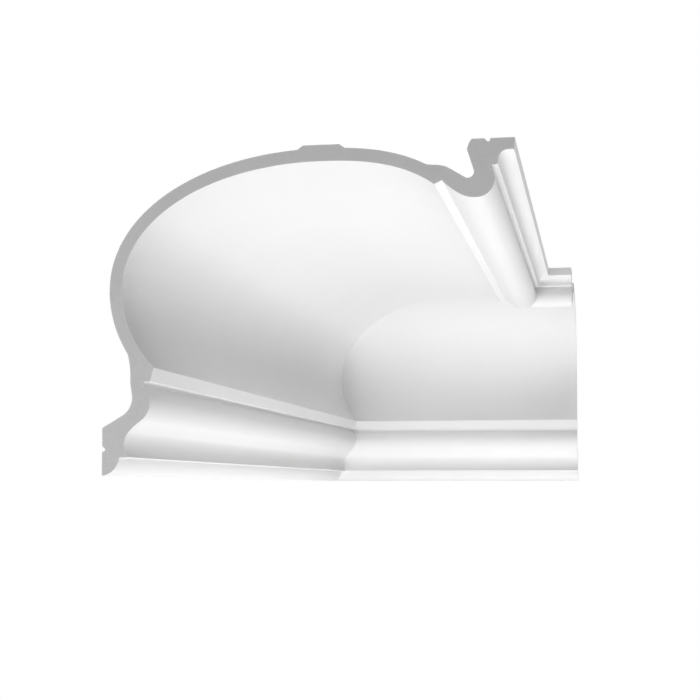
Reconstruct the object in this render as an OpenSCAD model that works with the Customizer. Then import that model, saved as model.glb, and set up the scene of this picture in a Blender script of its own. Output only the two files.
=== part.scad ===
// Large cove cornice for the inside corner of a room, in millimetres.
// Two lengths of the same hollow-backed moulding meet in a mitre: the long run goes along the left
// wall and the short run along the back wall. Each is a thin shell that touches the wall at its foot
// and the ceiling at its front edge, with a room-high hollow behind the cove.
//
// The left wall is the plane x = 0, the back wall y = 0, and the lower edge of the moulding z = 0.
// The section is drawn once as [reach, height]: reach is out from the wall, height is up from the
// lower edge.

/* [Overall] */
// Height of the section down the wall
drop = 290; // [235:1:360]
// Reach of the section along the ceiling
projection = 367.6; // [300:0.1:450]
// Length of the long run's front edge, from the mitre to its square end
long_front = 767.4; // [200:0.1:1600]
// Length of the short run's front edge, from the mitre to its square end
short_front = 30.4; // [5:0.1:600]

/* [Cove] */
// Thickness of the shell behind the cove
shell = 11.5; // [8:0.1:14]
// Reach of the cove's face where it comes nearest to the wall
belly_reach = 17; // [16:0.1:22]
// Height of that place above the fillet under the cove
belly_rise = 70; // [50:1:85]
// Depth of the cove's face under the ceiling where it is highest
crown_depth = 14.6; // [14.6:0.1:18]
// Distance of that place behind the cove's upper lip
crown_back = 99.4; // [70:0.1:120]
// Fullness of the cove between belly and crown, where 2 is an ellipse
upper_fullness = 2.07; // [1.9:0.01:2.3]
// Fullness of the cove between crown and upper lip, where 2 is an ellipse
lip_fullness = 2.5; // [1.9:0.01:2.7]

/* [Lower members] */
// Reach of the rounded foot
foot_reach = 15.8; // [12:0.1:19]
// Height of the rounded foot
foot_h = 16; // [12:0.1:17]
// Bulge of the rounded foot over its chord
foot_bulge = 4.2; // [2:0.1:6]
// Reach of the step over the foot
step_reach = 23.5; // [20:0.1:25]
// Height of the step's upright edge
step_edge = 0.8; // [0.4:0.1:2]
// Depth of the hollow over the step
hollow_depth = 3.3; // [1:0.1:4]
// Height at which the hollow ends and the slope to the nose starts
hollow_h = 37.8; // [35:0.1:40]
// Reach and height at which the slope runs into the nose
nose_start = [34.4, 47.7]; // [30:0.1:52]
// Dip of that slope under its chord
slope_dip = 0.4; // [0.1:0.1:1]
// Reach of the nose
nose_reach = 43.9; // [41:0.1:46]
// Height of the nose at its full reach
nose_h = 65.7; // [60:0.1:70]
// Bulge of the nose below its full reach
nose_bulge = 2.6; // [1:0.1:3.5]
// Bulge of the nose above its full reach
nose_turn = 1.5; // [0.5:0.1:2.5]
// Reach of the groove over the nose
groove_reach = 37.4; // [34:0.1:40]
// Height at which the nose ends in the groove
groove_h = 80; // [77:0.1:81]
// Height of the ledge under the fillet
ledge_h = 83.4; // [82:0.1:87]
// Height of the fillet's face
fillet_face = 12.5; // [8:0.1:16]
// Outward lean of the fillet's face
fillet_lean = 2.9; // [1:0.1:5]

/* [Upper members] */
// Height of the front edge at the ceiling
edge_h = 10.3; // [6:0.1:12]
// Outward lean of the front edge
edge_lean = 0.8; // [0:0.1:2]
// Distance of the cavetto's back from the front edge
cavetto_back = 14.7; // [12:0.1:16]
// Radius of the cavetto
cavetto_r = 9; // [5:0.1:9.5]
// Height of the upright face between cavetto and small fillet
cavetto_face = 3.4; // [1:0.1:6]
// Width of the small fillet over the torus
small_fillet = 7.3; // [4:0.1:9]
// Slope of the small fillet over its width
small_fillet_drop = 1.2; // [0:0.1:3]
// Distance of the torus's furthest place from the front edge
torus_back = 17.6; // [16:0.1:20]
// Radius of the torus
torus_r = 15.6; // [12:0.1:17]
// Depth of the torus's furthest place under the ceiling
torus_depth = 35.4; // [33:0.1:38]
// Bulge of the torus's top, where it turns in to the small fillet
torus_turn = 0.9; // [0.3:0.1:1.5]
// Distance and height from the torus's lowest place to the end of its straighter flank
flank_end_at = [13.2, 2.8]; // [1:0.1:16]
// Bulge of the flank, and of the round that takes it into the torus
flank_bulge = 0.9; // [0.3:0.1:1.5]
// Distance of the cove's upper lip from the front edge
lip_back = 70.2; // [66:0.1:76]
// Depth of the cove's upper lip under the ceiling
lip_depth = 38.3; // [35:0.1:42]
// Width and rise of the ledge on the upper lip
lip_ledge = [7.2, 3]; // [0:0.1:9]

/* [Back] */
// Height of the face that lies on the wall
wall_face = 42.4; // [38:0.1:44]
// Width of the face that lies on the ceiling
ceiling_face = 37; // [30:0.1:40]
// Width and height of the rounded corner behind the ceiling face
hook_corner = [4.2, 9.5]; // [1:0.1:12]
// Distance in front of that corner's start, and depth, at which the pocket over the torus starts
pocket_at = [1.7, 28]; // [0:0.1:30]
// Width and height of the pocket's round bottom
pocket_round = [6.9, 5.8]; // [2:0.1:9]
// Thickness of the shell over the upper lip
lip_wall = 16.8; // [14:0.1:19]
// Width and fall of the shelf behind the upper lip
shelf = [12.4, 2.2]; // [1:0.1:14]
// Thickness of the wall behind the nose
nose_wall = 16.5; // [12:0.1:20]
// Thickness of the wall behind the fillet
fillet_wall = 21.4; // [18:0.1:24]
// Width of the pad over the cove that also touches the ceiling
pad_w = 32.5; // [15:0.5:60]
// Width of the bevel at each side of that pad
pad_bevel = 5; // [2:0.1:8]
// Width of the glue keys in the wall face and in the ceiling face
key_w = 5.3; // [3:0.1:6]
// Depth of the glue keys
key_depth = 2.8; // [1:0.1:4]
// Height of the wall face's key above the lower edge
wall_key_h = 23.8; // [18:0.1:30]
// Distance of the ceiling face's key from the front edge
ceiling_key_back = 23.6; // [18:0.1:28]

/* [Colours] */
// Colour of the mouldings
primer_colour = "#f1f1ef"; // ["#f1f1ef", "#e6e2d8", "#ffffff"]

/* [Hidden] */
overlap = 1; // how far cutting shapes pass the faces they cut
arc_steps = 6; // straight pieces in a small round
round_steps = 10; // straight pieces in the nose and in the torus
cove_steps = 20; // straight pieces in each stretch of the cove
quarter_bulge = 1 - sqrt(0.5); // bulge of a quarter circle of radius 1

// Points after p, up to and with q, of a round that stands `bulge` to the right of the way from p
// to q, or to its left if `bulge` is negative.
function bow(p, q, bulge, steps = arc_steps) =
    let (chord = norm(q - p),
         along = (q - p) / chord,
         side = [along.y, -along.x],
         r = (chord * chord / 4 + bulge * bulge) / (2 * bulge),
         centre = (p + q) / 2 + side * (bulge - r),
         half = asin(chord / 2 / abs(r)))
    [for (i = [1:steps])
        let (a = half * (2 * i / steps - 1))
        centre + side * r * cos(a) + along * abs(r) * sin(a)];

// Points after angle a0, up to and with a1, of a quarter of a full ellipse about `centre`. Its
// half axes are signed: they say on which side of the centre the quarter lies.
function quarter(centre, half_reach, half_height, fullness, a0, a1) =
    [for (i = [1:cove_steps])
        let (a = a0 + (a1 - a0) * i / cove_steps)
        centre + [half_reach * pow(cos(a), 2 / fullness), half_height * pow(sin(a), 2 / fullness)]];

// The line of points moved off to its left by `gap`, square to itself.
function beside(line, gap) =
    let (last = len(line) - 1)
    [for (i = [0:last])
        let (way = line[min(i + 1, last)] - line[max(i - 1, 0)])
        line[i] + gap * [-way.y, way.x] / norm(way)];

function reversed(line) = [for (i = [len(line) - 1:-1:0]) line[i]];

// The face below the cove, from the lower edge up.
foot_top = [foot_reach, foot_h];
step_end = [step_reach, foot_h + step_edge];
hollow_end = [step_reach, hollow_h];
nose = [nose_reach, nose_h];
groove = [groove_reach, groove_h];
fillet_top = [nose_reach + fillet_lean, ledge_h + fillet_face];

lower_face = concat(
    [[0, 0]],
    bow([0, 0], foot_top, foot_bulge),
    [[step_reach, foot_h], step_end],
    bow(step_end, hollow_end, -hollow_depth),
    bow(hollow_end, nose_start, -slope_dip, 2),
    bow(nose_start, nose, nose_bulge, round_steps),
    bow(nose, groove, nose_turn),
    [[groove_reach, ledge_h], [nose_reach, ledge_h], fillet_top]);

// The cove, from the fillet round by the belly and the crown to the upper lip. Its two ends stay on
// the fillet and on the lip, whatever the size.
lip = [projection - lip_back, drop - lip_depth];
cove_centre = [lip.x - crown_back, fillet_top.y + belly_rise];
belly_half = cove_centre.x - belly_reach;
crown_half = drop - crown_depth - cove_centre.y;
start_angle = acos((cove_centre.x - fillet_top.x) / belly_half);
foot_half = belly_rise / sin(start_angle);
lip_share = pow((lip.y - cove_centre.y) / crown_half, lip_fullness);
lip_half = crown_back / pow(1 - lip_share, 1 / lip_fullness);
lip_angle = asin(sqrt(lip_share));

cove_face = concat(
    quarter(cove_centre, -belly_half, -foot_half, 2, start_angle, 0),
    quarter(cove_centre, -belly_half, crown_half, upper_fullness, 0, 90),
    quarter(cove_centre, lip_half, crown_half, lip_fullness, 90, lip_angle));

// The face above the cove, from its upper lip to the ceiling.
ledge_end = lip + lip_ledge;
torus_side = [projection - torus_back, drop - torus_depth];
torus_foot = torus_side - [torus_r, torus_r];
flank_end = torus_foot + [-flank_end_at.x, flank_end_at.y];
edge_foot = drop - edge_h;
cavetto_start = [projection - cavetto_back, edge_foot - cavetto_r];
cavetto_end = cavetto_start + [cavetto_r, cavetto_r];
small_fillet_end = cavetto_start - [0, cavetto_face];
torus_top = small_fillet_end - [small_fillet, small_fillet_drop];

upper_face = concat(
    [ledge_end],
    bow(ledge_end, flank_end, flank_bulge, 4),
    bow(flank_end, torus_foot, flank_bulge, 4),
    bow(torus_foot, torus_side, torus_r * quarter_bulge, round_steps),
    bow(torus_side, torus_top, torus_turn, 4),
    [small_fillet_end, cavetto_start],
    bow(cavetto_start, cavetto_end, -cavetto_r * quarter_bulge),
    [[projection - edge_lean, edge_foot], [projection, drop]]);

// The back, from the ceiling face to the wall face. The shell follows the cove at one thickness,
// and grows thicker where it runs into the members above and below.
hook_top = [projection - ceiling_face, drop];
hook_side = hook_top - hook_corner;
pocket_top = hook_top + [pocket_at.x, -pocket_at.y];
pocket_foot = pocket_top - pocket_round;
shelf_start = lip + [-1, lip_wall];
shelf_end = shelf_start + [shelf.x, -shelf.y];
pad_side = [pad_w / 2, drop];
pad_foot = [pad_w / 2 + pad_bevel, drop - crown_depth + shell - 0.5];
throat = [fillet_top.x - fillet_wall, fillet_top.y - fillet_face];
cup_top = [nose_reach - nose_wall, nose_h + 4.3];
cup_foot = nose_start + [-14.8, 6.3];

// The shell's back between the shelf and the throat, and the pad on it.
shell_back = reversed([for (p = beside(cove_face, shell))
    if (p.y > fillet_top.y + shell && p.x < lip.x - shell / 2) p]);

back = concat(
    [hook_top],
    bow(hook_top, hook_side, 0.9, 4),
    [pocket_top],
    bow(pocket_top, pocket_foot, -2.3),
    [shelf_end],
    bow(shelf_end, shelf_start, 0.6, 3),
    [for (p = shell_back) if (p.x > cove_centre.x + pad_foot.x) p],
    [for (p = [pad_foot, pad_side]) [cove_centre.x + p.x, p.y]],
    [for (p = [pad_side, pad_foot]) [cove_centre.x - p.x, p.y]],
    [for (p = shell_back) if (p.x < cove_centre.x - pad_foot.x) p],
    bow(shell_back[len(shell_back) - 1], throat, -1, 4),
    [cup_top],
    bow(cup_top, cup_foot, -2.1),
    [[0, wall_face]]);

// A glue key that opens on the line y = 0 and is cut up into +Y: steep at -X, sloping at +X, and
// round at its bottom.
module key() {
    slope_end = [key_w * 0.1, key_depth * 0.85];
    steep_end = [-key_w * 0.35, key_depth * 0.85];
    polygon(concat(
        [[-key_w / 2, -overlap], [key_w / 2, -overlap], [key_w / 2, 0], slope_end],
        bow(slope_end, steep_end, key_depth * 0.15, 3),
        [[-key_w / 2, 0]]));
}

module section() {
    difference() {
        polygon(concat(lower_face, cove_face, upper_face, back));
        translate([0, wall_key_h]) rotate(-90) mirror([1, 0]) key();
        translate([projection - ceiling_key_back, drop]) rotate(180) key();
    }
}

// A run along the left wall, from the corner to a square end, cut off at the mitre.
module run(front_length) {
    cut = projection + overlap;
    difference() {
        rotate([90, 0, 0]) linear_extrude(projection + front_length) section();
        translate([0, 0, -overlap]) linear_extrude(drop + 2 * overlap)
            polygon([[-overlap, overlap], [cut, overlap], [cut, -cut]]);
    }
}

module long_run() {
    color(primer_colour) run(long_front);
}

// The short run is the mirror image of a long one, across the mitre.
module short_run() {
    color(primer_colour) mirror([1, 1, 0]) run(short_front);
}

long_run();
short_run();
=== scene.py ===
"""Cove cornice for the inside corner of a room: two lengths of one hollow-backed moulding that meet in
a mitre, with their finishes, and a plain studio around them.

The left wall is the plane x = 0, the back wall y = 0, and the lower edge of the moulding z = 0. The
section is drawn as (reach, height) points: reach is out from the wall, height up from the lower edge.
"""

import math

import bmesh
import bpy
import numpy as np
from bpy.props import FloatProperty, FloatVectorProperty, PointerProperty
from bpy.types import Operator, Panel, PropertyGroup
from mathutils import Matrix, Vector
from mathutils.geometry import delaunay_2d_cdt


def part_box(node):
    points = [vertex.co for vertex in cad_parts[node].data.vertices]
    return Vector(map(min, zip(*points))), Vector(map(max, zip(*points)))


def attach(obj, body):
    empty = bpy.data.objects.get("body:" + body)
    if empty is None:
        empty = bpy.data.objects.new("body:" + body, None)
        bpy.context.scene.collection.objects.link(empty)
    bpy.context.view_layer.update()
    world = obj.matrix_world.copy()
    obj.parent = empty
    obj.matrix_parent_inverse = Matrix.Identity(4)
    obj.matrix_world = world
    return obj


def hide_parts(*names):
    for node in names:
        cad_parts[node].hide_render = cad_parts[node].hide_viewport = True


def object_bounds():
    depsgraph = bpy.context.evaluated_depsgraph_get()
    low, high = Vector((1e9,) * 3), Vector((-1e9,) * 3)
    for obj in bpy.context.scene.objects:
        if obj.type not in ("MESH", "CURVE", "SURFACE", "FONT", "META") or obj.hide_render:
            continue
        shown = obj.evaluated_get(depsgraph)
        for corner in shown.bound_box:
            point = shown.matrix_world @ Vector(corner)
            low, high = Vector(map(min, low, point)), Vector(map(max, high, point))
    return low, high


bl_info = {
    "name": "Cove Cornice Corner",
    "version": (1, 0, 0),
    "blender": (4, 5, 0),
    "location": "3D View > Sidebar > Cornice",
    "description": "Builds a mitred corner of a hollow-backed cove cornice and its studio",
    "category": "Mesh",
}

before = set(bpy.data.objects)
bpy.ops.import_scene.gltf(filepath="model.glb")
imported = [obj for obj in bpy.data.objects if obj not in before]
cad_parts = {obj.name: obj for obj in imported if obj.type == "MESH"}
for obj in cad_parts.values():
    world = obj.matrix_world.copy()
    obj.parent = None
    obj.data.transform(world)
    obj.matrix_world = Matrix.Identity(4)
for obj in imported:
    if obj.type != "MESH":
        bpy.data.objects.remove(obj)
CAD_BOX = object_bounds()
CAD_LOW, CAD_HIGH = CAD_BOX

MM = 0.001
SKIN_DEPTH = "skin_depth"  # the attribute that says how deep a point of a sawn end lies

ROUND_STEPS = 12  # straight pieces in a small round
NOSE_STEPS = 20  # straight pieces in the nose and in the torus
COVE_STEPS = 64  # straight pieces in each stretch of the cove
ARRIS_STEPS = 4  # straight pieces in an eased arris
SPAN = 25 * MM  # length of moulding between two rings of the mesh
FILL = 4 * MM  # distance between the points inside a sawn end
RIM = 1.6 * MM  # width of a sawn end's denser rim, which has no such points
QUARTER_BULGE = 1 - math.sqrt(0.5)  # bulge of a quarter circle of radius 1
KEY_ROUND = 0.1, -0.35  # sides of a glue key's rounded bottom, as shares of the key's width
KEY_FLANK = 0.85  # share of the key's depth above that bottom

CORNER_TURN = math.radians(25)  # where the outline turns by more than this it has a corner
SHARP_TURN = math.radians(30)  # where the mesh turns by more than this it has a sharp edge
SIDE_SHARE = 0.45  # most of a straight side that the easing of one of its corners may take
FLAT_HOLD = 0.3 * MM  # distance from an eased corner to the point that keeps the flat beside it
LEAST_HOLD = 0.1 * MM  # that distance where the side is short
BOX_SLACK = 0.1 * MM  # most that a piece may differ from the box of its CAD node
SAME_PLACE = 0.0001 * MM  # points nearer than this are one
FILL_INSIDE = 1  # has the triangulation fill the outline and nothing outside it

FACE, BACK, CUT = range(3)  # the moulding's finishes, in the order of its material slots

COLUMN_WIDTH, ROW_HEIGHT = 200, 260  # one place of the shader editor's grid
MIX_A, MIX_B, MIX_RESULT = 6, 7, 2  # a Mix node's colour sockets
SHADER_A, SHADER_B = 1, 2  # a Mix Shader node's shader sockets
LAMP_DEPTH = 1080 * MM  # depth of the two lowest lamps under the cornice's middle


# ---------------------------------------------------------------------------------------- settings


def size(name, description, millimetres):
    """A length that a user may change."""
    return FloatProperty(
        name=name, description=description, default=millimetres * MM, unit="LENGTH", precision=4
    )


def place(name, description, across, up):
    """A width and a height, or a point of the section, that a user may change."""
    return FloatVectorProperty(
        name=name,
        description=description,
        size=2,
        default=(across * MM, up * MM),
        unit="LENGTH",
        precision=4,
    )


def power(name, description, watts):
    """A lamp's power that a user may change."""
    return FloatProperty(name=name, description=description, default=watts, min=0, unit="POWER")


def colour(name, description, red, green, blue):
    """A colour that a user may change, in linear light."""
    return FloatVectorProperty(
        name=name,
        description=description,
        size=3,
        default=(red, green, blue),
        min=0,
        max=1,
        subtype="COLOR",
    )


class OverallSizes(PropertyGroup):
    """Outer sizes of the two runs and the easing of their arrises."""

    drop: size("Drop", "Height of the section down the wall", CAD_HIGH.z / MM)
    projection: size("Projection", "Reach of the section along the ceiling", 367.6)
    long_length: size("Long run", "Length of the long run at the wall", -CAD_LOW.y / MM)
    short_length: size("Short run", "Length of the short run at the wall", CAD_HIGH.x / MM)
    face_ease: size("Face arris", "Radius of the arrises and inner corners of the face", 0.5)
    back_ease: size("Back arris", "Radius of the arrises and inner corners of the back", 0.8)


class CoveSizes(PropertyGroup):
    """The large hollow between the fillet and the upper lip."""

    shell: size("Shell", "Thickness of the shell behind the cove", 11.5)
    belly_reach: size("Belly reach", "Reach of the cove where it comes nearest to the wall", 17)
    belly_rise: size("Belly rise", "Height of that place above the fillet under the cove", 70)
    crown_depth: size("Crown depth", "Depth of the cove's highest place under the ceiling", 14.6)
    crown_back: size("Crown back", "Distance of that place behind the cove's upper lip", 99.4)
    upper_fullness: FloatProperty(
        name="Upper fullness",
        description="Fullness of the cove between belly and crown, where 2 is an ellipse",
        default=2.07,
    )
    lip_fullness: FloatProperty(
        name="Lip fullness",
        description="Fullness of the cove between crown and upper lip, where 2 is an ellipse",
        default=2.5,
    )


class LowerSizes(PropertyGroup):
    """The members under the cove, from the foot to the fillet."""

    foot_top: place("Foot", "Reach and height of the rounded foot", 15.8, 16)
    foot_bulge: size("Foot bulge", "Bulge of the rounded foot over its chord", 4.2)
    step_reach: size("Step reach", "Reach of the step over the foot", 23.5)
    step_edge: size("Step edge", "Height of the step's upright edge", 0.8)
    hollow_depth: size("Hollow depth", "Depth of the hollow over the step", 3.3)
    hollow_h: size("Hollow height", "Height at which the hollow ends and the slope starts", 37.8)
    nose_start: place("Nose start", "Where the slope runs into the nose", 34.4, 47.7)
    slope_dip: size("Slope dip", "Dip of the slope under its chord", 0.4)
    nose: place("Nose", "Place of the nose's full reach", 43.9, 65.7)
    nose_bulge: size("Nose bulge", "Bulge of the nose below its full reach", 2.6)
    nose_turn: size("Nose turn", "Bulge of the nose above its full reach", 1.5)
    groove: place("Groove", "Place where the nose ends in the groove over it", 37.4, 80)
    ledge_h: size("Ledge height", "Height of the ledge under the fillet", 83.4)
    fillet_face: size("Fillet face", "Height of the fillet's face", 12.5)
    fillet_lean: size("Fillet lean", "Outward lean of the fillet's face", 2.9)


class UpperSizes(PropertyGroup):
    """The members over the cove, from the upper lip to the front edge."""

    edge_h: size("Edge height", "Height of the front edge at the ceiling", 10.3)
    edge_lean: size("Edge lean", "Outward lean of the front edge", 0.8)
    cavetto_back: size("Cavetto back", "Distance of the cavetto's back from the front edge", 14.7)
    cavetto_r: size("Cavetto radius", "Radius of the cavetto", 9)
    cavetto_face: size("Cavetto face", "Height of the upright face under the cavetto", 3.4)
    small_fillet: place("Small fillet", "Width and slope of the small fillet", 7.3, 1.2)
    torus_at: place("Torus", "Distance of the torus from front edge and ceiling", 17.6, 35.4)
    torus_r: size("Torus radius", "Radius of the torus", 15.6)
    torus_turn: size("Torus turn", "Bulge of the torus's top, where it turns in", 0.9)
    flank: place("Flank", "Width and rise of the torus's straighter flank", 13.2, 2.8)
    flank_bulge: size("Flank bulge", "Bulge of the flank and of the round after it", 0.9)
    lip_at: place("Upper lip", "Distance of the cove's lip from front edge and ceiling", 70.2, 38.3)
    lip_ledge: place("Lip ledge", "Width and rise of the ledge on the upper lip", 7.2, 3)


class BackSizes(PropertyGroup):
    """The faces that lie on wall and ceiling, and the hollows between them."""

    wall_face: size("Wall face", "Height of the face that lies on the wall", 42.4)
    ceiling_face: size("Ceiling face", "Width of the face that lies on the ceiling", 37)
    hook_corner: place("Hook corner", "Size of the rounded corner behind that face", 4.2, 9.5)
    hook_bulge: size("Hook bulge", "Bulge of that corner", 0.9)
    pocket_at: place("Pocket", "Where the pocket over the torus starts", 1.7, 28)
    pocket_round: place("Pocket round", "Size of the pocket's round bottom", 6.9, 5.8)
    pocket_dip: size("Pocket dip", "Dip of that bottom under its chord", 2.3)
    lip_wall: size("Lip wall", "Thickness of the shell over the upper lip", 16.8)
    shelf: place("Shelf", "Width and fall of the shelf behind the upper lip", 12.4, 2.2)
    shelf_back: size("Shelf start", "Distance of the shelf's start behind the upper lip", 1)
    shelf_bulge: size("Shelf bulge", "Bulge of the shelf over its chord", 0.6)
    cup_top: place("Cup top", "Where the nose's back turns in, from the nose", -16.5, 4.3)
    cup_foot: place("Cup foot", "Where it has turned in, from the nose's start", -14.8, 6.3)
    cup_dip: size("Cup dip", "Dip of that turn under its chord", 2.1)
    fillet_wall: size("Fillet wall", "Thickness of the wall behind the fillet", 21.4)
    throat_dip: size("Throat dip", "Dip between the shell's back and the fillet's", 1)
    pad_w: size("Pad width", "Width of the pad over the cove that touches the ceiling", 32.5)
    pad_bevel: size("Pad bevel", "Width of the bevel at each side of that pad", 5)
    pad_root: size("Pad root", "Depth of the bevels' feet in the shell", 0.5)
    key: place("Glue key", "Width and depth of the glue keys", 5.3, 2.8)
    wall_key_h: size("Wall key", "Height of the wall face's key", 23.8)
    ceiling_key_back: size("Ceiling key", "Distance of the other key from the front edge", 23.6)


class FinishSettings(PropertyGroup):
    """Base colours of the finishes and of the floor."""

    primer: colour("Primer", "Primer on the moulded face", 0.79, 0.79, 0.79)
    raw_skin: colour("Raw skin", "Foam skin on the back, which isn't primed", 0.78, 0.77, 0.74)
    sawn_foam: colour("Sawn foam", "Foam of the sawn ends", 0.585, 0.585, 0.585)
    floor: colour("Floor", "Studio floor", 0.86, 0.86, 0.86)


class StudioSettings(PropertyGroup):
    """Camera, floor, lamps and the light of the room."""

    viewer_front: size("Camera in front", "Distance of the camera before the square end", 1249.7)
    viewer_right: size("Camera to the right", "Distance of the camera past the short run", 42.7)
    viewer_below: size("Camera below", "Distance of the camera under the lower edge", 9.9)
    turn: FloatProperty(
        name="Turn",
        description="Turn of the camera to the left of the long run's own direction",
        default=math.radians(9.843),
        subtype="ANGLE",
    )
    tilt: FloatProperty(
        name="Tilt",
        description="Tilt of the camera above the level",
        default=math.radians(3.770),
        subtype="ANGLE",
    )
    lens: FloatProperty(name="Lens", description="Focal length in millimetres", default=75.51)
    rise: FloatProperty(name="Rise", description="Upward shift of the frame", default=0.0574)
    floor_depth: size("Floor depth", "Depth of the floor under the lower edge", 2300)
    floor_radius: size("Floor radius", "Radius of the floor", 6000)
    ambient: FloatProperty(name="Ambient", description="Strength of the room's light", default=0.12)
    under_watts: power("Under lamp", "Power of the lamp straight under the cornice", 8.1)
    corner_watts: power("Corner lamp", "Power of the low lamp before the inside corner", 8.2)
    right_watts: power("Right lamp", "Power of the low lamp at the viewer's right", 1.3)
    side_watts: power("Side lamp", "Power of the high lamp at the viewer's right", 17.5)
    front_watts: power("Front lamp", "Power of the lamp at the viewer's left", 20.8)
    rear_watts: power("Rear lamp", "Power of the lamp that lights the back", 4.2)
    top_watts: power("Top lamp", "Power of the lamp over the cornice", 3.7)


class CorniceSettings(PropertyGroup):
    """All that a user may change."""

    overall: PointerProperty(type=OverallSizes)
    cove: PointerProperty(type=CoveSizes)
    lower: PointerProperty(type=LowerSizes)
    upper: PointerProperty(type=UpperSizes)
    back: PointerProperty(type=BackSizes)
    finish: PointerProperty(type=FinishSettings)
    studio: PointerProperty(type=StudioSettings)


# ----------------------------------------------------------------------------- curves of a section


def point(reach, height):
    """A point of the section."""
    return Vector((reach, height))


def bow(start, end, bulge, steps=ROUND_STEPS):
    """Points after start, up to and with end, of a round that stands bulge to the right of the way
    from start to end, or to its left if bulge is negative."""
    chord = (end - start).length
    along = (end - start) / chord
    side = point(along.y, -along.x)
    radius = (chord * chord / 4 + bulge * bulge) / (2 * bulge)
    centre = (start + end) / 2 + side * (bulge - radius)
    half = math.asin(chord / 2 / abs(radius))
    angles = [half * (2 * i / steps - 1) for i in range(1, steps + 1)]
    return [
        centre + side * radius * math.cos(a) + along * abs(radius) * math.sin(a) for a in angles
    ]


def quarter(centre, half_reach, half_height, fullness, start, end):
    """Points after the angle start, up to and with end, of a quarter of a full ellipse. Its half
    axes are signed: they say on which side of the centre the quarter lies."""
    points = []
    for i in range(1, COVE_STEPS + 1):
        angle = start + (end - start) * i / COVE_STEPS
        across = max(math.cos(angle), 0) ** (2 / fullness)
        up = max(math.sin(angle), 0) ** (2 / fullness)
        points.append(centre + point(half_reach * across, half_height * up))
    return points


def beside(line, gap):
    """The line of points moved off to its left by gap, square to itself."""
    moved = []
    for i, here in enumerate(line):
        way = line[min(i + 1, len(line) - 1)] - line[max(i - 1, 0)]
        moved.append(here + gap * point(-way.y, way.x).normalized())
    return moved


# ------------------------------------------------------------------------------- the cornice's section


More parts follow.
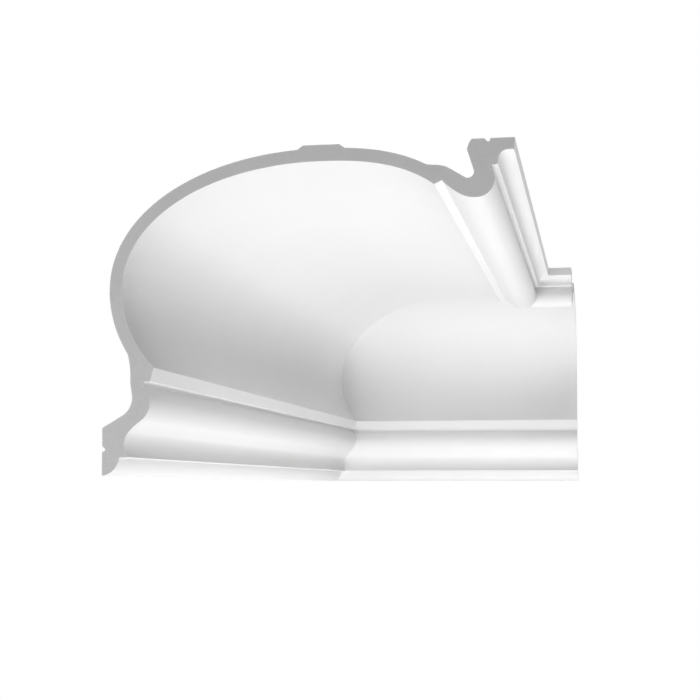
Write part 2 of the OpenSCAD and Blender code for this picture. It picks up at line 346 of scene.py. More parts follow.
class Section:
    """The points that the members of the section share, worked out from the sizes."""

    def __init__(self, settings):
        self.overall = settings.overall
        self.cove = settings.cove
        self.lower = settings.lower
        self.upper = settings.upper
        self.back = settings.back
        self.front = point(settings.overall.projection, settings.overall.drop)
        self.fillet_top = self.fillet_foot() + point(self.lower.fillet_lean, self.lower.fillet_face)
        self.lip = self.front - Vector(self.upper.lip_at)
        self.cove_centre = point(
            self.lip.x - self.cove.crown_back, self.fillet_top.y + self.cove.belly_rise
        )

    def fillet_foot(self):
        """Where the fillet's face starts, over the nose."""
        return point(self.lower.nose[0], self.lower.ledge_h)

    def lower_face(self):
        """From the lower edge up: foot, step, hollow, nose, groove and fillet."""
        sizes = self.lower
        wall = point(0, 0)
        foot_top = Vector(sizes.foot_top)
        step_foot = point(sizes.step_reach, foot_top.y)
        step_end = step_foot + point(0, sizes.step_edge)
        hollow_end = point(sizes.step_reach, sizes.hollow_h)
        nose_start = Vector(sizes.nose_start)
        nose = Vector(sizes.nose)
        groove = Vector(sizes.groove)
        return [
            wall,
            *bow(wall, foot_top, sizes.foot_bulge),
            step_foot,
            step_end,
            *bow(step_end, hollow_end, -sizes.hollow_depth),
            *bow(hollow_end, nose_start, -sizes.slope_dip),
            *bow(nose_start, nose, sizes.nose_bulge, NOSE_STEPS),
            *bow(nose, groove, sizes.nose_turn),
            point(groove.x, sizes.ledge_h),
            self.fillet_foot(),
            self.fillet_top,
        ]

    def cove_face(self):
        """From the fillet round by the belly and the crown to the upper lip."""
        sizes = self.cove
        centre = self.cove_centre
        belly_half = centre.x - sizes.belly_reach
        crown_half = self.front.y - sizes.crown_depth - centre.y
        start = math.acos((centre.x - self.fillet_top.x) / belly_half)
        foot_half = sizes.belly_rise / math.sin(start)
        lip_share = ((self.lip.y - centre.y) / crown_half) ** sizes.lip_fullness
        lip_half = sizes.crown_back / (1 - lip_share) ** (1 / sizes.lip_fullness)
        lip_angle = math.asin(math.sqrt(lip_share))
        top = math.pi / 2
        return [
            *quarter(centre, -belly_half, -foot_half, 2, start, 0),
            *quarter(centre, -belly_half, crown_half, sizes.upper_fullness, 0, top),
            *quarter(centre, lip_half, crown_half, sizes.lip_fullness, top, lip_angle),
        ]

    def upper_face(self):
        """From the cove's lip to the ceiling: ledge, torus, small fillet, cavetto and front edge."""
        sizes = self.upper
        round_bulge = sizes.torus_r * QUARTER_BULGE
        ledge_end = self.lip + Vector(sizes.lip_ledge)
        torus_side = self.front - Vector(sizes.torus_at)
        torus_foot = torus_side - point(sizes.torus_r, sizes.torus_r)
        flank_end = torus_foot + point(-sizes.flank[0], sizes.flank[1])
        edge_foot = self.front - point(sizes.edge_lean, sizes.edge_h)
        cavetto_start = self.front - point(sizes.cavetto_back, sizes.edge_h + sizes.cavetto_r)
        cavetto_end = cavetto_start + point(sizes.cavetto_r, sizes.cavetto_r)
        fillet_end = cavetto_start - point(0, sizes.cavetto_face)
        torus_top = fillet_end - Vector(sizes.small_fillet)
        return [
            ledge_end,
            *bow(ledge_end, flank_end, sizes.flank_bulge),
            *bow(flank_end, torus_foot, sizes.flank_bulge),
            *bow(torus_foot, torus_side, round_bulge, NOSE_STEPS),
            *bow(torus_side, torus_top, sizes.torus_turn),
            fillet_end,
            cavetto_start,
            *bow(cavetto_start, cavetto_end, -sizes.cavetto_r * QUARTER_BULGE),
            edge_foot,
            self.front,
        ]

    def key(self):
        """Points (along, into the foam) of a glue key, from its sloping side to its steep one."""
        width, depth = self.back.key
        slope_end, steep_end = (point(side * width, KEY_FLANK * depth) for side in KEY_ROUND)
        return [
            point(width / 2, 0),
            slope_end,
            *bow(slope_end, steep_end, (1 - KEY_FLANK) * depth, ARRIS_STEPS),
            point(-width / 2, 0),
        ]

    def ceiling_key(self):
        """The glue key of the face that lies on the ceiling."""
        middle = self.front.x - self.back.ceiling_key_back
        return [point(middle - p.x, self.front.y - p.y) for p in reversed(self.key())]

    def wall_key(self):
        """The glue key of the face that lies on the wall."""
        return [point(p.y, self.back.wall_key_h + p.x) for p in self.key()]

    def pad(self):
        """The pad over the cove, from its room side to its wall side."""
        centre_x = self.cove_centre.x
        half = self.back.pad_w / 2
        foot_h = self.front.y - self.cove.crown_depth + self.cove.shell - self.back.pad_root
        foot = half + self.back.pad_bevel
        return [
            point(centre_x + foot, foot_h),
            point(centre_x + half, self.front.y),
            point(centre_x - half, self.front.y),
            point(centre_x - foot, foot_h),
        ]

    def shell_back(self):
        """The back of the cove's shell, from the upper lip down to the fillet."""
        shell = self.cove.shell
        low = self.fillet_top.y + shell
        high = self.lip.x - shell / 2
        line = beside(self.cove_face(), shell)
        return [p for p in reversed(line) if p.y > low and p.x < high]

    def back_face(self):
        """From the ceiling face over hook, pocket, shelf, shell, pad and cup to the wall face."""
        sizes = self.back
        hook_top = point(self.front.x - sizes.ceiling_face, self.front.y)
        hook_side = hook_top - Vector(sizes.hook_corner)
        pocket_top = hook_top + point(sizes.pocket_at[0], -sizes.pocket_at[1])
        pocket_foot = pocket_top - Vector(sizes.pocket_round)
        shelf_start = self.lip + point(-sizes.shelf_back, sizes.lip_wall)
        shelf_end = shelf_start + point(sizes.shelf[0], -sizes.shelf[1])
        pad = self.pad()
        shell = self.shell_back()
        throat = self.fillet_top - point(sizes.fillet_wall, self.lower.fillet_face)
        cup_top = Vector(self.lower.nose) + Vector(sizes.cup_top)
        cup_foot = Vector(self.lower.nose_start) + Vector(sizes.cup_foot)
        return [
            hook_top,
            *bow(hook_top, hook_side, sizes.hook_bulge),
            pocket_top,
            *bow(pocket_top, pocket_foot, -sizes.pocket_dip),
            shelf_end,
            *bow(shelf_end, shelf_start, sizes.shelf_bulge),
            *[p for p in shell if p.x > pad[0].x],
            *pad,
            *[p for p in shell if p.x < pad[-1].x],
            *bow(shell[-1], throat, -sizes.throat_dip),
            cup_top,
            *bow(cup_top, cup_foot, -sizes.cup_dip),
            point(0, sizes.wall_face),
        ]

    def outline(self):
        """The closed outline as (point, finish of the stretch after it)."""
        face = [*self.lower_face(), *self.cove_face(), *self.upper_face()]
        back = [*self.ceiling_key(), *self.back_face(), *self.wall_key()]
        last = face.pop()
        return [*((p, FACE) for p in face), (last, BACK), *((p, BACK) for p in back)]


def eased(outline, radii):
    """The outline with each corner turned into a small round, and a point on either side of it that
    keeps the flats beside it flat."""
    result = []
    for i, (corner, finish) in enumerate(outline):
        before, finish_before = outline[i - 1]
        after = outline[(i + 1) % len(outline)][0]
        arriving = corner - before
        leaving = after - corner
        turn = arriving.angle(leaving)
        if turn < CORNER_TURN:
            result.append((corner, finish))
            continue
        radius = min(radii[finish_before], radii[finish])
        room = SIDE_SHARE * min(arriving.length, leaving.length)
        cut = min(radius * math.tan(turn / 2), room - LEAST_HOLD)
        held = min(cut + FLAT_HOLD, room)
        round_start = corner - arriving.normalized() * cut
        round_end = corner + leaving.normalized() * cut
        result.append((corner - arriving.normalized() * held, finish_before))
        for step in range(ARRIS_STEPS + 1):
            done = step / ARRIS_STEPS
            left = 1 - done
            on_round = left**2 * round_start + 2 * left * done * corner + done**2 * round_end
            result.append((on_round, finish_before if step < ARRIS_STEPS else finish))
        result.append((corner + leaving.normalized() * held, finish))
    return result


# --------------------------------------------------------------------------------- the runs' meshes


def inside(outline, spacing, skin):
    """Points of a square grid that lie inside the outline, each with its depth under it. All are
    more than skin deep."""
    starts = np.array([p[:] for p in outline])
    ends = np.roll(starts, -1, axis=0)
    way = ends - starts
    low, high = starts.min(0), starts.max(0)
    columns = [np.arange(low[i] + spacing / 2, high[i], spacing) for i in range(2)]
    grid = np.stack(np.meshgrid(*columns), -1).reshape(-1, 1, 2)
    share = ((grid - starts) * way).sum(-1) / (way * way).sum(-1)
    nearest = starts + share.clip(0, 1)[..., None] * way
    depth = np.linalg.norm(grid - nearest, axis=-1).min(1)
    height = grid[..., 1]
    crosses = (starts[:, 1] > height) != (ends[:, 1] > height)
    with np.errstate(divide="ignore", invalid="ignore"):
        crossing = starts[:, 0] + (height - starts[:, 1]) / way[:, 1] * way[:, 0]
    within = (crosses & (grid[..., 0] < crossing)).sum(1) % 2 == 1
    kept = within & (depth > skin)
    return [Vector(p) for p in grid[kept, 0]], depth[kept].tolist()


def end_face(outline):
    """Triangles that fill the outline, with the points inside it that they use and the depth of
    those under the outline. The outline's own points come first in the triangles' numbers."""
    points, depths = inside(outline, FILL, RIM)
    ring = list(range(len(outline)))
    places = [*outline, *points]
    made, _, faces, sources, _, _ = delaunay_2d_cdt(places, [], [ring], FILL_INSIDE, SAME_PLACE)
    if len(made) != len(places):
        raise RuntimeError("the section's outline crosses itself")
    triangles = [[sources[i][0] for i in face] for face in faces]
    return triangles, points, depths


def side_faces(count, spans):
    """The faces between the rings of a run. Each ring has count points."""
    faces = []
    for ring in range(spans):
        here = ring * count
        there = here + count
        for i in range(count):
            j = (i + 1) % count
            faces.append((here + i, here + j, there + j, there + i))
    return faces


def cap_faces(triangles, count, ring_start, inner_start):
    """An end's triangles, in the numbers that the run's mesh gives to their points."""
    return [
        [ring_start + i if i < count else inner_start + i - count for i in triangle]
        for triangle in triangles
    ]


def run_mesh(name, outline, length, put):
    """A closed mesh of one run: the section from the mitre to the square end. put(reach, height,
    run) gives the place of a point at that distance from the room's corner."""
    section = [p for p, _ in outline]
    finishes = [finish for _, finish in outline]
    triangles, points, depths = end_face(section)
    count = len(section)
    spans = math.ceil(length / SPAN)
    places = []
    for ring in range(spans + 1):
        share = ring / spans
        places += [put(p.x, p.y, p.x + (length - p.x) * share) for p in section]
    mitre_start = len(places)
    places += [put(p.x, p.y, p.x) for p in points]
    end_start = len(places)
    places += [put(p.x, p.y, length) for p in points]

    faces = side_faces(count, spans)
    faces += cap_faces(triangles, count, 0, mitre_start)
    faces += cap_faces(triangles, count, spans * count, end_start)
    slots = finishes * spans + [CUT] * (2 * len(triangles))

    mesh = bpy.data.meshes.new(name)
    mesh.from_pydata(places, [], faces)
    mesh.polygons.foreach_set("material_index", slots)
    depth = mesh.attributes.new(SKIN_DEPTH, "FLOAT", "POINT")
    depth.data.foreach_set("value", [0.0] * mitre_start + depths + depths)
    turned_out(mesh)
    mesh.shade_smooth()
    mesh.set_sharp_from_angle(angle=SHARP_TURN)
    return mesh


def turned_out(mesh):
    """Turns every face of a closed mesh outward."""
    shape = bmesh.new()
    shape.from_mesh(mesh)
    bmesh.ops.recalc_face_normals(shape, faces=shape.faces)
    shape.to_mesh(mesh)
    shape.free()


def along_left_wall(reach, height, run):
    """The place of a point of the long run."""
    return Vector((reach, -run, height))


def along_back_wall(reach, height, run):
    """The place of a point of the short run."""
    return Vector((run, -reach, height))


def add_run(settings, node, length, put):
    """Adds one run as a piece that stands for its CAD node."""
    name = node + "_moulding"
    if name in bpy.data.objects:
        raise RuntimeError(f"{name} is there already")
    radii = {FACE: settings.overall.face_ease, BACK: settings.overall.back_ease}
    outline = eased(Section(settings).outline(), radii)
    mesh = run_mesh(name, outline, length, put)
    finish = settings.finish
    mesh.materials.append(primed_face(finish))
    mesh.materials.append(raw_back(finish))
    mesh.materials.append(sawn_end(finish))
    piece = bpy.data.objects.new(name, mesh)
    bpy.context.scene.collection.objects.link(piece)
    check_box(piece, node)
    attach(piece, "root")
    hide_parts(node)


def check_box(piece, node):
    """Stops if the piece isn't where its CAD node is."""
    corners = [Vector(c) for c in piece.bound_box]
    for axis in range(3):
        low = min(c[axis] for c in corners)
        high = max(c[axis] for c in corners)
        cad_low, cad_high = (corner[axis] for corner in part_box(node))
        if max(abs(low - cad_low), abs(high - cad_high)) > BOX_SLACK:
            raise RuntimeError(f"{piece.name} doesn't fill the box of {node}")


# ------------------------------------------------------------------------------------ shader nodes


def add(tree, kind, column, row, settings=None, **inputs):
    """Adds a shader node at a place of the editor's grid. Its inputs are given by name, as values
    or as the sockets that feed them."""
    node = tree.nodes.new(kind)
    node.location = (column * COLUMN_WIDTH, row * -ROW_HEIGHT)
    for name, value in (settings or {}).items():
        setattr(node, name, value)
    for name, value in inputs.items():
        feed(tree, node.inputs[name.replace("_", " ")], value)
    return node


def feed(tree, socket, value):
    """Gives a socket a value, or links it to the socket that makes one."""
    if isinstance(value, bpy.types.NodeSocket):
        tree.links.new(value, socket)
    else:
        socket.default_value = value


def maths(tree, operation, column, row, first, second=0.0):
    """Adds a Math node and returns its output."""
    node = add(tree, "ShaderNodeMath", column, row, {"operation": operation})
    feed(tree, node.inputs[0], first)
    feed(tree, node.inputs[1], second)
    return node.outputs["Value"]


def mapped(tree, column, row, value, source, target):
    """Adds a Map Range node from one range to another and returns its output."""
    node = add(
        tree,
        "ShaderNodeMapRange",
        column,
        row,
        Value=value,
        From_Min=source[0],
        From_Max=source[1],
        To_Min=target[0],
        To_Max=target[1],
    )
    return node.outputs["Result"]


def group(name, inputs, outputs):
    """A new shader node group with these sockets, each given as (name, kind, default)."""
    tree = bpy.data.node_groups.new(name, "ShaderNodeTree")
    for label, kind, default in inputs:
        socket = tree.interface.new_socket(label, in_out="INPUT", socket_type=kind)
        socket.default_value = default
    for label, kind in outputs:
        tree.interface.new_socket(label, in_out="OUTPUT", socket_type=kind)
    return tree, add(tree, "NodeGroupInput", 0, 0), add(tree, "NodeGroupOutput", 8, 0)


def shared(name, build):
    """The group of that name, built the first time that it is asked for."""
    return bpy.data.node_groups.get(name) or build(name)


def use(tree, made, column, row, **inputs):
    """Places a group in a material with its own values."""
    return add(tree, "ShaderNodeGroup", column, row, {"node_tree": made}, **inputs)


def at_scale(tree, column, row, feature):
    """The scale at which a texture's features have that size in metres."""
    return maths(tree, "DIVIDE", column, row, 1.0, feature)


def build_tone_drift(name):
    """Slow changes of tone, such as a sprayed or a cast surface has."""
    tree, given, out = group(
        name,
        [
            ("Colour", "NodeSocketColor", (0.8, 0.8, 0.8, 1)),
            ("Patch", "NodeSocketFloat", 0.05),
            ("Amount", "NodeSocketFloat", 0.02),
        ],
        [("Colour", "NodeSocketColor")],
    )
    where = add(tree, "ShaderNodeTexCoord", 0, 1).outputs["Object"]
    scale = at_scale(tree, 1, 1, given.outputs["Patch"])
    noise = add(
        tree, "ShaderNodeTexNoise", 2, 1, Vector=where, Scale=scale, Detail=4.0, Roughness=0.55
    )
    swing = mapped(tree, 3, 1, noise.outputs["Fac"], (0.3, 0.7), (-1.0, 1.0))
    change = maths(tree, "MULTIPLY", 4, 1, swing, given.outputs["Amount"])
    value = maths(tree, "ADD", 5, 1, change, 1.0)
    tinted = add(
        tree, "ShaderNodeHueSaturation", 6, 0, Value=value, Color=given.outputs["Colour"]
    )
    tree.links.new(tinted.outputs["Color"], out.inputs["Colour"])
    return tree


def build_fine_grain(name):
    """The fine unevenness of a sprayed or a moulded skin."""
    tree, given, out = group(
        name,
        [("Grain", "NodeSocketFloat", 0.002)],
        [("Height", "NodeSocketFloat"), ("Mask", "NodeSocketFloat")],
    )
    where = add(tree, "ShaderNodeTexCoord", 0, 1).outputs["Object"]
    scale = at_scale(tree, 1, 1, given.outputs["Grain"])
    noise = add(
        tree, "ShaderNodeTexNoise", 2, 1, Vector=where, Scale=scale, Detail=2.0, Roughness=0.6
    )
    mask = mapped(tree, 3, 1, noise.outputs["Fac"], (0.35, 0.65), (0.0, 1.0))
    tree.links.new(noise.outputs["Fac"], out.inputs["Height"])
    tree.links.new(mask, out.inputs["Mask"])
    return tree


def build_open_cells(name):
    """Cells of a foam, some of them open: little round pits among closed ones."""
    tree, given, out = group(
        name,
        [("Cell", "NodeSocketFloat", 0.001), ("Share", "NodeSocketFloat", 0.1)],
        [("Pits", "NodeSocketFloat")],
    )
    where = add(tree, "ShaderNodeTexCoord", 0, 1).outputs["Object"]
    scale = at_scale(tree, 1, 1, given.outputs["Cell"])
    cells = add(tree, "ShaderNodeTexVoronoi", 2, 1, Vector=where, Scale=scale)
    near = mapped(tree, 3, 1, cells.outputs["Distance"], (0.15, 0.45), (1.0, 0.0))
    draw = add(tree, "ShaderNodeSeparateColor", 3, 2, Color=cells.outputs["Color"])
    is_open = maths(tree, "LESS_THAN", 4, 2, draw.outputs["Red"], given.outputs["Share"])
    pits = maths(tree, "MULTIPLY", 5, 1, near, is_open)
    tree.links.new(pits, out.inputs["Pits"])
    return tree


def new_material(name):
    """A material with an output, as (material, its tree, its Principled BSDF)."""
    material = bpy.data.materials.new(name)
    material.use_nodes = True
    tree = material.node_tree
    tree.nodes.clear()
    shader = add(tree, "ShaderNodeBsdfPrincipled", 7, 0)
    surface = add(tree, "ShaderNodeOutputMaterial", 9, 0)
    tree.links.new(shader.outputs["BSDF"], surface.inputs["Surface"])
    return material, tree, shader


def tone_drift(tree, column, row, tint, patch, amount):
    """The tint with slow changes of tone, in patches of that size."""
    made = shared("tone_drift", build_tone_drift)
    node = use(tree, made, column, row, Colour=tint, Patch=patch, Amount=amount)
    return node.outputs["Colour"]


def fine_grain(tree, column, row, grain):
    """Places the group of the skin's fine unevenness."""
    return use(tree, shared("fine_grain", build_fine_grain), column, row, Grain=grain)


def open_cells(tree, column, row, cell, share):
    """Places the group of the foam's cells, a share of them open."""
    return use(tree, shared("open_cells", build_open_cells), column, row, Cell=cell, Share=share)


def relief(tree, column, row, height, depth, onto=None):
    """A bump as deep as depth, in metres, over another one if that is given."""
    node = add(tree, "ShaderNodeBump", column, row, Height=height, Distance=depth)
    if onto:
        tree.links.new(onto, node.inputs["Normal"])
    return node.outputs["Normal"]


def darker(tree, column, row, tint, mask, share):
    """The tint, darker by that share where the mask is 1."""
    amount = maths(tree, "MULTIPLY", column, row + 1, mask, share)
    node = add(tree, "ShaderNodeMix", column + 1, row, {"data_type": "RGBA"})
    feed(tree, node.inputs["Factor"], amount)
    feed(tree, node.inputs[MIX_A], tint)
    feed(tree, node.inputs[MIX_B], (0, 0, 0, 1))
    return node.outputs[MIX_RESULT]


# -------------------------------------------------------------------------------------- finishes


def ready(name):
    """The material of that name, if it has been made."""
    return bpy.data.materials.get(name)


def primed_face(finish):
    """Matt factory primer, sprayed thin over a smooth moulded face."""
    if ready("factory_primer"):
        return ready("factory_primer")
    material, tree, shader = new_material("factory_primer")
    cloud = tone_drift(tree, 1, 0, (*finish.primer, 1), patch=90 * MM, amount=0.008)
    fleck = tone_drift(tree, 2, 0, cloud, patch=1.1 * MM, amount=0.010)
    peel = fine_grain(tree, 1, 2, grain=2.4 * MM)
    dust = open_cells(tree, 1, 3, cell=3.1 * MM, share=0.035)
    rough = mapped(tree, 3, 1, peel.outputs["Mask"], (0.0, 1.0), (0.50, 0.60))
    sprayed = relief(tree, 4, 2, peel.outputs["Height"], depth=0.045 * MM)
    nibs = relief(tree, 5, 3, dust.outputs["Pits"], depth=0.018 * MM, onto=sprayed)
    feed(tree, shader.inputs["Base Color"], fleck)
    feed(tree, shader.inputs["Roughness"], rough)
    feed(tree, shader.inputs["Normal"], nibs)
    feed(tree, shader.inputs["Specular IOR Level"], 0.35)
    return material


def raw_back(finish):
    """Bare foam skin as it leaves the mould, with flow marks and pinholes; pinholes and pores are
    painted darker as painted shade inside them.
    """
    if ready("raw_foam_skin"):
        return ready("raw_foam_skin")
    material, tree, shader = new_material("raw_foam_skin")
    flow = tone_drift(tree, 1, 0, (*finish.raw_skin, 1), patch=55 * MM, amount=0.028)
    cloud = tone_drift(tree, 2, 0, flow, patch=9 * MM, amount=0.018)
    holes = open_cells(tree, 1, 2, cell=4 * MM, share=0.06)
    pores = open_cells(tree, 1, 3, cell=1.3 * MM, share=0.16)
    grain = fine_grain(tree, 1, 4, grain=7 * MM)
    # painted shade: the pinholes and pores are painted darker in colour, standing in for the shade
    # that falls inside them
    tint = darker(tree, 3, 0, cloud, holes.outputs["Pits"], share=0.20)
    tint = darker(tree, 5, 0, tint, pores.outputs["Pits"], share=0.12)
    sunk = maths(tree, "ADD", 3, 3, holes.outputs["Pits"], pores.outputs["Pits"])
    level = maths(tree, "SUBTRACT", 4, 3, grain.outputs["Height"], sunk)
    rough = mapped(tree, 3, 2, grain.outputs["Mask"], (0.0, 1.0), (0.62, 0.80))
    feed(tree, shader.inputs["Base Color"], tint)
    feed(tree, shader.inputs["Roughness"], rough)
    feed(tree, shader.inputs["Normal"], relief(tree, 6, 2, level, depth=0.30 * MM))
    feed(tree, shader.inputs["Specular IOR Level"], 0.3)
    return material


def sawn_end(finish):
    """Foam laid bare by the saw: open cells and saw marks inside a denser skin; the open cells are
    painted darker as painted shade inside them.
    """
    if ready("sawn_foam"):
        return ready("sawn_foam")
    material, tree, shader = new_material("sawn_foam")
    where = add(tree, "ShaderNodeTexCoord", 0, 1).outputs["Object"]
    depth = add(tree, "ShaderNodeAttribute", 0, 3, {"attribute_name": SKIN_DEPTH})
    core = mapped(tree, 1, 3, depth.outputs["Fac"], (0.3 * MM, RIM), (0.0, 1.0))
    cloud = tone_drift(tree, 1, 0, (*finish.sawn_foam, 1), patch=35 * MM, amount=0.020)
    speckle = tone_drift(tree, 2, 0, cloud, patch=0.9 * MM, amount=0.040)
    pores = open_cells(tree, 1, 2, cell=0.8 * MM, share=0.22)
    pits = maths(tree, "MULTIPLY", 2, 2, pores.outputs["Pits"], core)
    strokes = add(
        tree,
        "ShaderNodeTexWave",
        1,
        4,
        {"bands_direction": "Z"},
        Vector=where,
        Scale=at_scale(tree, 0, 4, 9 * MM),
        Distortion=1.5,
        Detail=3.0,
    )
    # painted shade: the open cells are painted darker in colour, standing in for the shade that falls
    # inside them
    tint = darker(tree, 3, 0, speckle, pits, share=0.22)
    tint = darker(tree, 5, 0, tint, core, share=0.035)
    stroke_share = 0.35  # the saw marks' depth as a share of the pits'
    cut = maths(tree, "MULTIPLY", 3, 4, strokes.outputs["Fac"], stroke_share)
    level = maths(tree, "SUBTRACT", 4, 3, cut, pits)
    feed(tree, shader.inputs["Base Color"], tint)
    feed(tree, shader.inputs["Roughness"], mapped(tree, 4, 2, core, (0.0, 1.0), (0.62, 0.86)))
    feed(tree, shader.inputs["Normal"], relief(tree, 6, 2, level, depth=0.10 * MM))
    feed(tree, shader.inputs["Specular IOR Level"], 0.2)
    return material


# ----------------------------------------------------------------------------------------- studio


def seen_directly(tree, column, row):
    """1 where the camera looks straight, or through gloss or glass, at a backdrop."""
    path = add(tree, "ShaderNodeLightPath", column, row)
    seen = maths(
        tree,
        "MAXIMUM",
        column + 1,
        row,
        path.outputs["Is Camera Ray"],
        path.outputs["Is Glossy Ray"],
    )
    return maths(tree, "MAXIMUM", column + 2, row, seen, path.outputs["Is Transmission Ray"])


def white_room(studio):
    """A room that gives soft light from all sides and looks white."""
    world = bpy.data.worlds.new("white_room")
    world.use_nodes = True
    tree = world.node_tree
    tree.nodes.clear()
    light = add(tree, "ShaderNodeBackground", 3, 0, Strength=studio.ambient)
    look = add(tree, "ShaderNodeBackground", 3, 1, Color=(1, 1, 1, 1), Strength=1.0)
    mix = add(tree, "ShaderNodeMixShader", 4, 0)
    feed(tree, light.inputs["Color"], (1, 1, 1, 1))
    feed(tree, mix.inputs["Fac"], seen_directly(tree, 0, 0))
    tree.links.new(light.outputs["Background"], mix.inputs[SHADER_A])
    tree.links.new(look.outputs["Background"], mix.inputs[SHADER_B])
    surface = add(tree, "ShaderNodeOutputWorld", 5, 0)
    tree.links.new(mix.outputs["Shader"], surface.inputs["Surface"])
    bpy.context.scene.world = world


def floor_paint(settings, centre):
    """Matt pale floor that the camera sees fade into the white room, with the shadows left in."""
    material, tree, shader = new_material("pale_floor")
    radius = settings.studio.floor_radius
    fade_start = 0.4 * radius
    fade_end = 0.95 * radius
    least_white = 0.7
    paint = tone_drift(tree, 1, 0, (*settings.finish.floor, 1), patch=400 * MM, amount=0.006)
    grain = fine_grain(tree, 1, 2, grain=3 * MM)
    bump = relief(tree, 5, 2, grain.outputs["Height"], depth=0.05 * MM)
    feed(tree, shader.inputs["Base Color"], paint)
    feed(tree, shader.inputs["Roughness"], 0.8)
    feed(tree, shader.inputs["Specular IOR Level"], 0.1)
    feed(tree, shader.inputs["Normal"], bump)
    where = add(tree, "ShaderNodeTexCoord", 0, 4).outputs["Object"]
    away = add(tree, "ShaderNodeVectorMath", 1, 4, {"operation": "DISTANCE"})
    feed(tree, away.inputs[0], where)
    feed(tree, away.inputs[1], centre)
    fade = mapped(tree, 2, 4, away.outputs["Value"], (fade_start, fade_end), (least_white, 1.0))
    share = maths(tree, "MULTIPLY", 5, 4, fade, seen_directly(tree, 2, 5))
    white = add(tree, "ShaderNodeEmission", 7, 3, Color=(1, 1, 1, 1), Strength=1.0)
    mix = add(tree, "ShaderNodeMixShader", 8, 1, Fac=share)
    tree.links.new(shader.outputs["BSDF"], mix.inputs[SHADER_A])
    tree.links.new(white.outputs["Emission"], mix.inputs[SHADER_B])
    surface = next(n for n in tree.nodes if n.type == "OUTPUT_MATERIAL")
    tree.links.new(mix.outputs["Shader"], surface.inputs["Surface"])
    return material


def add_floor(settings, middle):
    """A round floor under the cornice."""
    top = -settings.studio.floor_depth
    centre = Vector((middle.x, middle.y, top))
    shape = bmesh.new()
    disc = bmesh.ops.create_circle(
        shape, cap_ends=True, radius=settings.studio.floor_radius, segments=128
    )
    bmesh.ops.translate(shape, verts=disc["verts"], vec=centre)
    mesh = bpy.data.meshes.new("studio_floor")
    shape.to_mesh(mesh)
    shape.free()
    mesh.materials.append(floor_paint(settings, centre))
    floor = bpy.data.objects.new("studio_floor", mesh)
    bpy.context.scene.collection.objects.link(floor)


def bearing(turn, lift, distance):
    """The way to a place, turned to the right of straight before the cornice and lifted above the
    level by angles in degrees."""
    turn = math.radians(turn)
    lift = math.radians(lift)
    level = distance * math.cos(lift)
    return Vector((level * math.sin(turn), -level * math.cos(turn), distance * math.sin(lift)))


def add_lamp(name, at, aim, face, watts, spread=180):
    """A soft lamp at one place, aimed at another, with a face of that width and height. It lights
    a cone as wide as spread, in degrees."""
    light = bpy.data.lights.new(name, "AREA")
    light.shape = "RECTANGLE"
    light.size, light.size_y = face
    light.energy = watts
    light.spread = math.radians(spread)
    lamp = bpy.data.objects.new(name, light)
    lamp.location = at
    lamp.rotation_euler = (aim - at).to_track_quat("-Z", "Y").to_euler()
    lamp.visible_camera = False
    bpy.context.scene.collection.objects.link(lamp)


def add_lamps(studio, middle):
    """Soft lamps under the cornice, before it and at its right, and weak ones behind and over it."""
    up = Vector((0, 0, 1))
    under = middle + Vector((0.10, 0.07, -LAMP_DEPTH))
    corner = middle + Vector((0.60, -0.78, -LAMP_DEPTH))
    right = middle + bearing(turn=90, lift=-58, distance=1.15)
    side = middle + bearing(turn=120, lift=28, distance=2.4)
    front = middle + bearing(turn=-10, lift=-13, distance=2.3)
    rear = middle + bearing(turn=-145, lift=12, distance=2.6)
    top = middle + bearing(turn=0, lift=90, distance=2.25)
    add_lamp("under_lamp", under, under + up, (0.6, 1.2), studio.under_watts)
    add_lamp("corner_lamp", corner, corner + up, (0.6, 0.7), studio.corner_watts)
    add_lamp("right_lamp", right, middle, (0.5, 0.5), studio.right_watts)
    add_lamp("side_lamp", side, middle, (0.8, 0.8), studio.side_watts)
    add_lamp("front_lamp", front, middle, (0.8, 0.8), studio.front_watts)
    add_lamp("rear_lamp", rear, middle, (1.2, 1.2), studio.rear_watts, spread=30)
    add_lamp("top_lamp", top, middle, (1.2, 1.2), studio.top_watts, spread=60)


def add_camera(studio):
    """A camera before the square end, a little under the cornice."""
    camera = bpy.data.objects.new("camera", bpy.data.cameras.new("camera"))
    camera.data.lens = studio.lens
    camera.data.shift_y = studio.rise
    camera.data.clip_start = 0.01
    camera.location = (
        CAD_HIGH.x + studio.viewer_right,
        CAD_LOW.y - studio.viewer_front,
        CAD_LOW.z - studio.viewer_below,
    )
    camera.rotation_euler = (math.pi / 2 + studio.tilt, 0, studio.turn)
    bpy.context.scene.collection.objects.link(camera)
    bpy.context.scene.camera = camera


# ------------------------------------------------------------------------------ operators and panel


class CORNICE_OT_add_long_run(Operator):
    """Adds the long run, from the mitre along the left wall to its square end"""

    bl_idname = "cornice.add_long_run"
    bl_label = "Add Long Run"
    bl_options = {"REGISTER", "UNDO"}

    def execute(self, context):
        settings = context.scene.cornice
        add_run(settings, "long_run", settings.overall.long_length, along_left_wall)
        return {"FINISHED"}


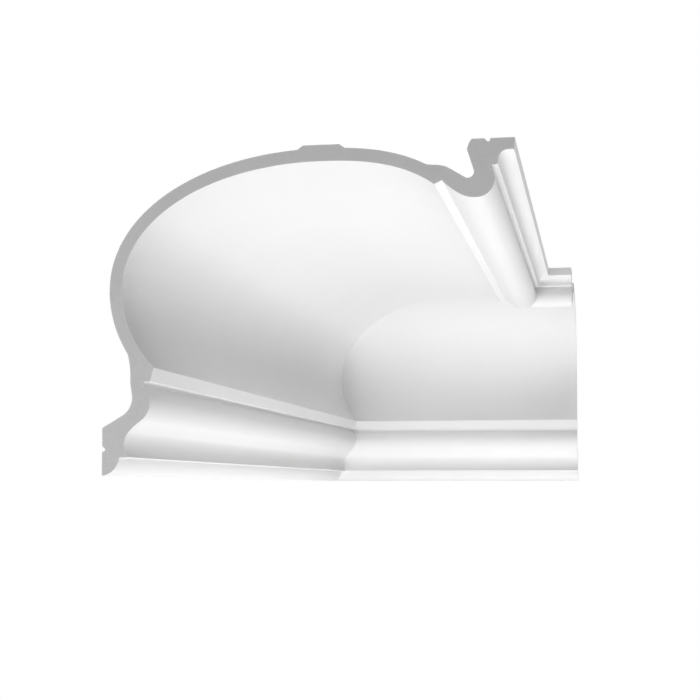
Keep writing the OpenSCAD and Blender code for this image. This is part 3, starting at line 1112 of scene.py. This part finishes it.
class CORNICE_OT_add_short_run(Operator):
    """Adds the short run, from the mitre along the back wall to its square end"""

    bl_idname = "cornice.add_short_run"
    bl_label = "Add Short Run"
    bl_options = {"REGISTER", "UNDO"}

    def execute(self, context):
        settings = context.scene.cornice
        add_run(settings, "short_run", settings.overall.short_length, along_back_wall)
        return {"FINISHED"}


class CORNICE_OT_set_stage(Operator):
    """Sets the floor, the lamps, the white room and the camera round the cornice"""

    bl_idname = "cornice.set_stage"
    bl_label = "Set Stage"
    bl_options = {"REGISTER", "UNDO"}

    def execute(self, context):
        settings = context.scene.cornice
        middle = (CAD_LOW + CAD_HIGH) / 2
        white_room(settings.studio)
        add_floor(settings, middle)
        add_lamps(settings.studio, middle)
        add_camera(settings.studio)
        context.scene.view_settings.view_transform = "Standard"
        return {"FINISHED"}


class CORNICE_PT_panel(Panel):
    """Lists the pieces of the cornice and the sizes and colours that they are made from"""

    bl_idname = "CORNICE_PT_panel"
    bl_label = "Cove Cornice"
    bl_space_type = "VIEW_3D"
    bl_region_type = "UI"
    bl_category = "Cornice"

    def draw(self, context):
        layout = self.layout
        for operator in OPERATORS:
            layout.operator(operator.bl_idname)
        settings = context.scene.cornice
        for part in PARTS:
            box = layout.box()
            box.label(text=part.capitalize())
            group_settings = getattr(settings, part)
            for name in group_settings.__annotations__:
                box.prop(group_settings, name)


PARTS = ("overall", "cove", "lower", "upper", "back", "finish", "studio")
OPERATORS = (CORNICE_OT_add_long_run, CORNICE_OT_add_short_run, CORNICE_OT_set_stage)
CLASSES = (
    OverallSizes,
    CoveSizes,
    LowerSizes,
    UpperSizes,
    BackSizes,
    FinishSettings,
    StudioSettings,
    CorniceSettings,
    *OPERATORS,
    CORNICE_PT_panel,
)


def register():
    """Makes the settings, the operators and the panel known to Blender."""
    for made in CLASSES:
        bpy.utils.register_class(made)
    bpy.types.Scene.cornice = PointerProperty(type=CorniceSettings)


def unregister():
    """Takes them away again."""
    del bpy.types.Scene.cornice
    for made in reversed(CLASSES):
        bpy.utils.unregister_class(made)


def main():
    """Builds the cornice and its studio."""
    register()
    bpy.ops.cornice.add_long_run()
    bpy.ops.cornice.add_short_run()
    bpy.ops.cornice.set_stage()


if __name__ == "__main__":
    main()
